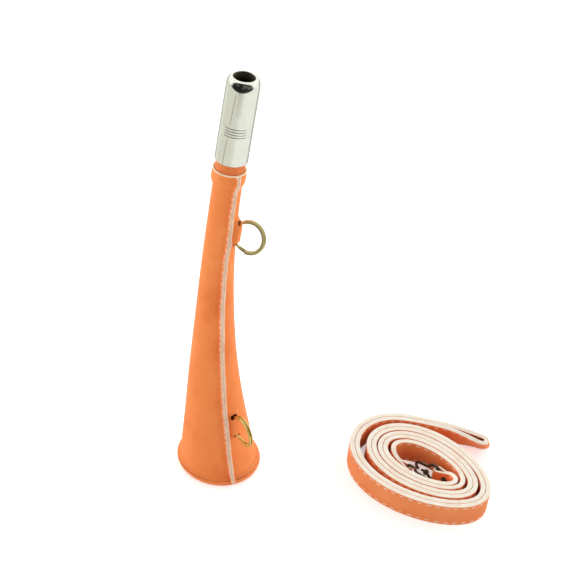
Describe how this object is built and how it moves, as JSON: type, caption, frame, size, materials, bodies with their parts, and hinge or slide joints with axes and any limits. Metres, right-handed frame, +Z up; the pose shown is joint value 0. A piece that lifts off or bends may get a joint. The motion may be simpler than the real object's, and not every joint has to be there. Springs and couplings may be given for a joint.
{
  "type": "hunting_horn",
  "caption": "Hunting horn in orange leather with a seam down its flared body, plated mouthpiece, two split rings, and its stitched carrying strap rolled up beside it",
  "frame": {"origin": "middle of the whole set's footprint, on the floor", "axes": "+Z up from the bell's rim to the mouthpiece, +X from the horn to the strap, -Y to the front"},
  "size_m": [0.1758, 0.068, 0.2393],
  "materials": {
    "orange_leather": "satin",
    "dark_leather": "satin",
    "plated_nickel": "polished",
    "brass": "satin",
    "antique_brass": "aged",
    "cork": "raw cork"
  },
  "bodies": {
    "horn": {"leather_cover": "orange_leather", "neck_strip": "dark_leather", "bell_tube": "brass", "rim_wire": "brass", "neck_socket": "brass", "upper_lug": "brass", "lower_lug": "brass", "strap_band": "orange_leather", "strap_rivet_a": "antique_brass", "strap_rivet_b": "antique_brass"},
    "mouthpiece": {"mouthpiece_shell": "plated_nickel", "tenon_tube": "brass", "tenon_cork": "cork", "reed_block": "brass", "reed_shallot": "brass", "reed_tongue": "brass", "reed_wedge": "antique_brass"},
    "ring_upper": {"upper_ring": "brass"},
    "ring_lower": {"lower_ring": "brass"},
    "snap_hook_a": {"hook_a": "antique_brass", "gate_pin_a": "antique_brass"},
    "snap_hook_b": {"hook_b": "antique_brass", "gate_pin_b": "antique_brass"},
    "hook_gate_a": {"gate_a": "antique_brass"},
    "hook_gate_b": {"gate_b": "antique_brass"}
  },
  "joints": [
    {"name": "mouthpiece_slide", "type": "slide", "parent": "horn", "child": "mouthpiece", "axis": [0.0435, 0.0853, 0.9954], "range_m": [0, 0.022]},
    {"name": "upper_ring_swing", "type": "hinge", "parent": "horn", "child": "ring_upper", "pos_m": [-0.06964, -0.00247, 0.1535], "axis": [0.0629, 0.3071, 0.9496], "range_deg": [-40, 50]},
    {"name": "lower_ring_swing", "type": "hinge", "parent": "horn", "child": "ring_lower", "pos_m": [-0.05831, -0.018, 0.03694], "axis": [-0.2098, 0.1228, 0.97], "range_deg": [-40, 50]},
    {"name": "hook_a_turn", "type": "hinge", "parent": "horn", "child": "snap_hook_a", "pos_m": [0.03963, -0.00414, 0.007], "axis": [0, 0, 1], "range_deg": [-8, 20]},
    {"name": "hook_b_turn", "type": "hinge", "parent": "horn", "child": "snap_hook_b", "pos_m": [0.05613, -0.0034, 0.007], "axis": [0, 0, 1], "range_deg": [-25, 18]},
    {"name": "gate_a_open", "type": "hinge", "parent": "snap_hook_a", "child": "hook_gate_a", "pos_m": [0.04511, -0.00745, 0.0044], "axis": [-0.5174, -0.8557, 0], "range_deg": [0, 35], "stiffness_Nm_per_rad": 0.002, "springref_deg": -17.19},
    {"name": "gate_b_open", "type": "hinge", "parent": "snap_hook_b", "child": "hook_gate_b", "pos_m": [0.0504, -0.00055, 0.0044], "axis": [0.4453, 0.8954, 0], "range_deg": [0, 35], "stiffness_Nm_per_rad": 0.002, "springref_deg": -17.19}
  ]
}
